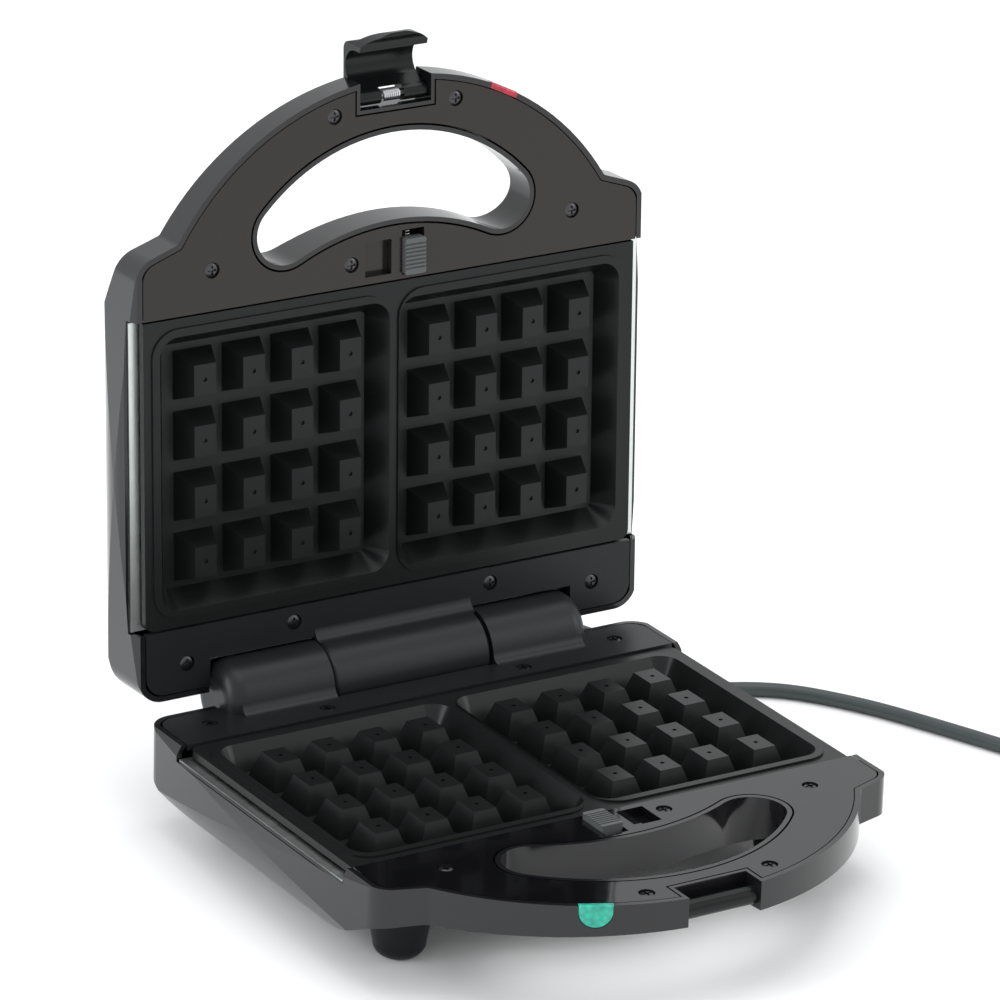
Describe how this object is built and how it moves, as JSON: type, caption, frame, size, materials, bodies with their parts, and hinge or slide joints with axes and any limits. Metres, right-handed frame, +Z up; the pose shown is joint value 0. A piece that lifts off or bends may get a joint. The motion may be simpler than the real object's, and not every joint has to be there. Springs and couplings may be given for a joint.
{
  "type": "waffle maker",
  "caption": "Two-slice electric waffle maker, hinged open, with lift-off cast plates, through handles, a latch and a mains lead.",
  "frame": {"origin": "centre of the bounding box without the free lead, on the floor under the feet", "axes": "+X right seen from the handle side, +Y towards the hinge, +Z up"},
  "size_m": [0.4383, 0.2943, 0.3038],
  "materials": {
    "gloss_black": "polished black",
    "satin_black": "satin black",
    "nonstick": "satin non-stick coating",
    "sheet_metal": "bright sheet",
    "element_metal": "dull sheath",
    "steel": "zinc plated",
    "button_grey": "fine matt",
    "red_lens": "translucent",
    "green_lens": "translucent",
    "lamp_glass": "clear",
    "rubber": "matt",
    "cord_pvc": "satin",
    "ceramic": "pale ceramic"
  },
  "bodies": {
    "base": {"base_element_clamps": "steel", "base_front_bezel": "gloss_black", "base_front_screws": "steel", "base_heating_element": "element_metal", "base_housing": "gloss_black", "base_lamp": "lamp_glass", "base_plate": "nonstick", "base_rear_bezel": "satin_black", "base_rear_screws": "steel", "base_reflector": "sheet_metal", "base_release_spring": "steel", "foot_front_left": "rubber", "foot_front_right": "rubber", "foot_rear_left": "rubber", "foot_rear_right": "rubber", "green_lens": "green_lens", "hinge_pins": "steel", "latch_catch_bar": "steel", "lead_coil": "cord_pvc", "lead_tie": "cord_pvc", "mains_lead": "cord_pvc", "plug": "cord_pvc", "strain_relief": "cord_pvc", "terminal_block": "ceramic", "thermal_fuse": "steel", "thermostat": "steel"},
    "lid": {"lid_element_clamps": "steel", "lid_front_bezel": "gloss_black", "lid_front_screws": "steel", "lid_heating_element": "element_metal", "lid_housing": "gloss_black", "lid_lamp": "lamp_glass", "lid_plate": "nonstick", "lid_rear_bezel": "satin_black", "lid_rear_screws": "steel", "lid_reflector": "sheet_metal", "lid_release_spring": "steel", "red_lens": "red_lens", "latch_pin": "steel", "latch_spring": "steel"},
    "latch": {"latch": "satin_black"},
    "base_button": {"base_release_button": "button_grey"},
    "lid_button": {"lid_release_button": "button_grey"}
  },
  "joints": [
    {"name": "lid_hinge", "type": "hinge", "parent": "base", "child": "lid", "pos_m": [0, 0.0976, 0.0452], "axis": [1, 0, 0], "range_deg": [0, 92]},
    {"name": "latch_pivot", "type": "hinge", "parent": "lid", "child": "latch", "pos_m": [0, 0.1119, 0.27714], "axis": [1, 0, 0], "range_deg": [0, 90], "stiffness_Nm_per_rad": 0.01, "springref_deg": -34.38},
    {"name": "base_release", "type": "slide", "parent": "base", "child": "base_button", "axis": [0, -1, 0], "range_m": [0, 0.003], "stiffness_N_per_m": 400, "springref_m": -0.003, "deforming": ["base_release_spring"]},
    {"name": "lid_release", "type": "slide", "parent": "lid", "child": "lid_button", "axis": [0, 0.0349, 0.9994], "range_m": [0, 0.003], "stiffness_N_per_m": 400, "springref_m": -0.003, "deforming": ["lid_release_spring"]}
  ]
}
